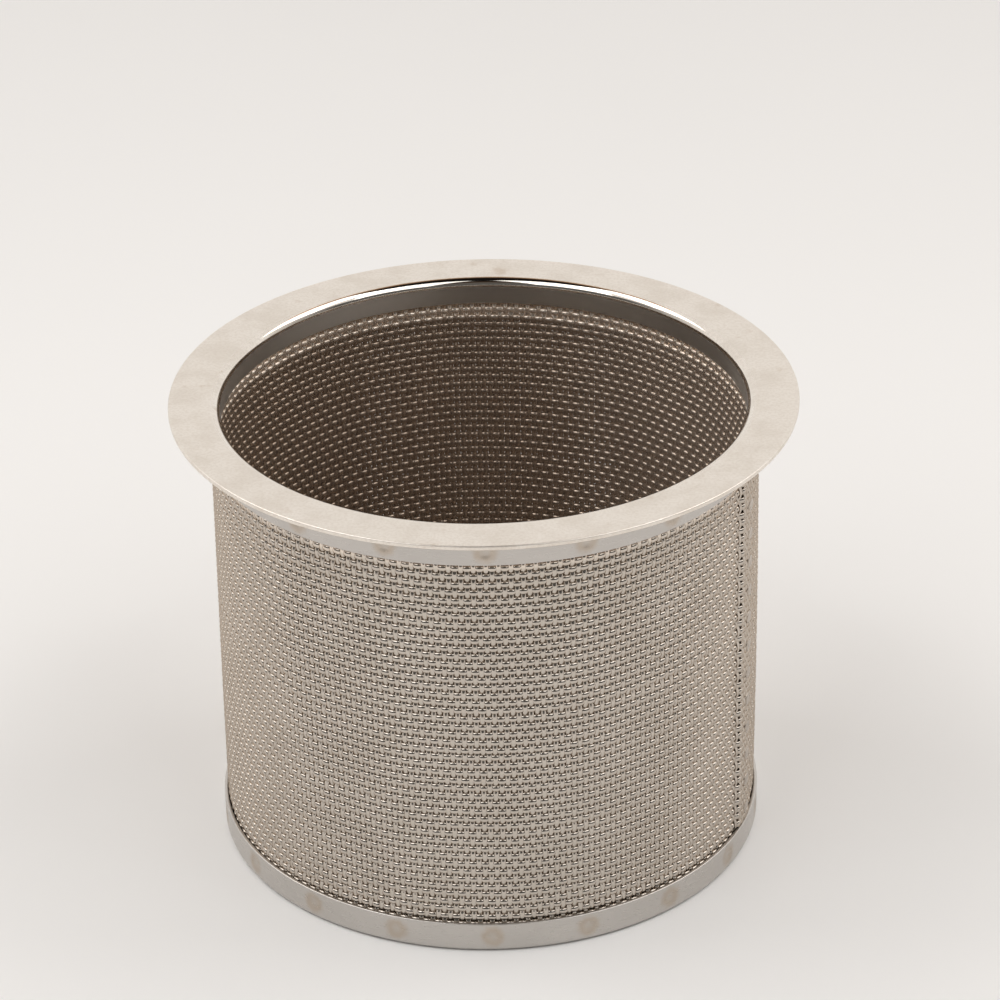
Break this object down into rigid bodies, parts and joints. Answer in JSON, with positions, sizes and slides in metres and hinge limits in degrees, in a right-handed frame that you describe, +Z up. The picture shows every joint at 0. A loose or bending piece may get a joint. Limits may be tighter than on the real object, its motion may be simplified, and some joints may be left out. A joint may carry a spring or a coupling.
{
  "type": "teapot infuser",
  "caption": "Round tea strainer basket of woven stainless wire with a flat steel flange that rests in a teapot's mouth and a folded ring for a foot.",
  "frame": {"origin": "centre of the foot, in the plane the basket stands on", "axes": "+Z up along the basket's axis, out of its mouth; the wall's seam is 20 degrees from +X towards -Y"},
  "size_m": [0.0785, 0.0784, 0.06],
  "materials": {
    "rim_steel": "satin pressed sheet with fine grain and a few faint tea stains",
    "band_steel": "plain rolled sheet with spot weld marks",
    "cloth_wire": "drawn wire in a close plain weave, rolled flat, browned by tea inside",
    "ring_steel": "plain rolled sheet, folded"
  },
  "bodies": {
    "root": {"rim_flange": "rim_steel", "clamp_band": "band_steel", "wall_cloth": "cloth_wire", "base_cloth": "cloth_wire", "base_ring": "ring_steel"}
  },
  "joints": []
}
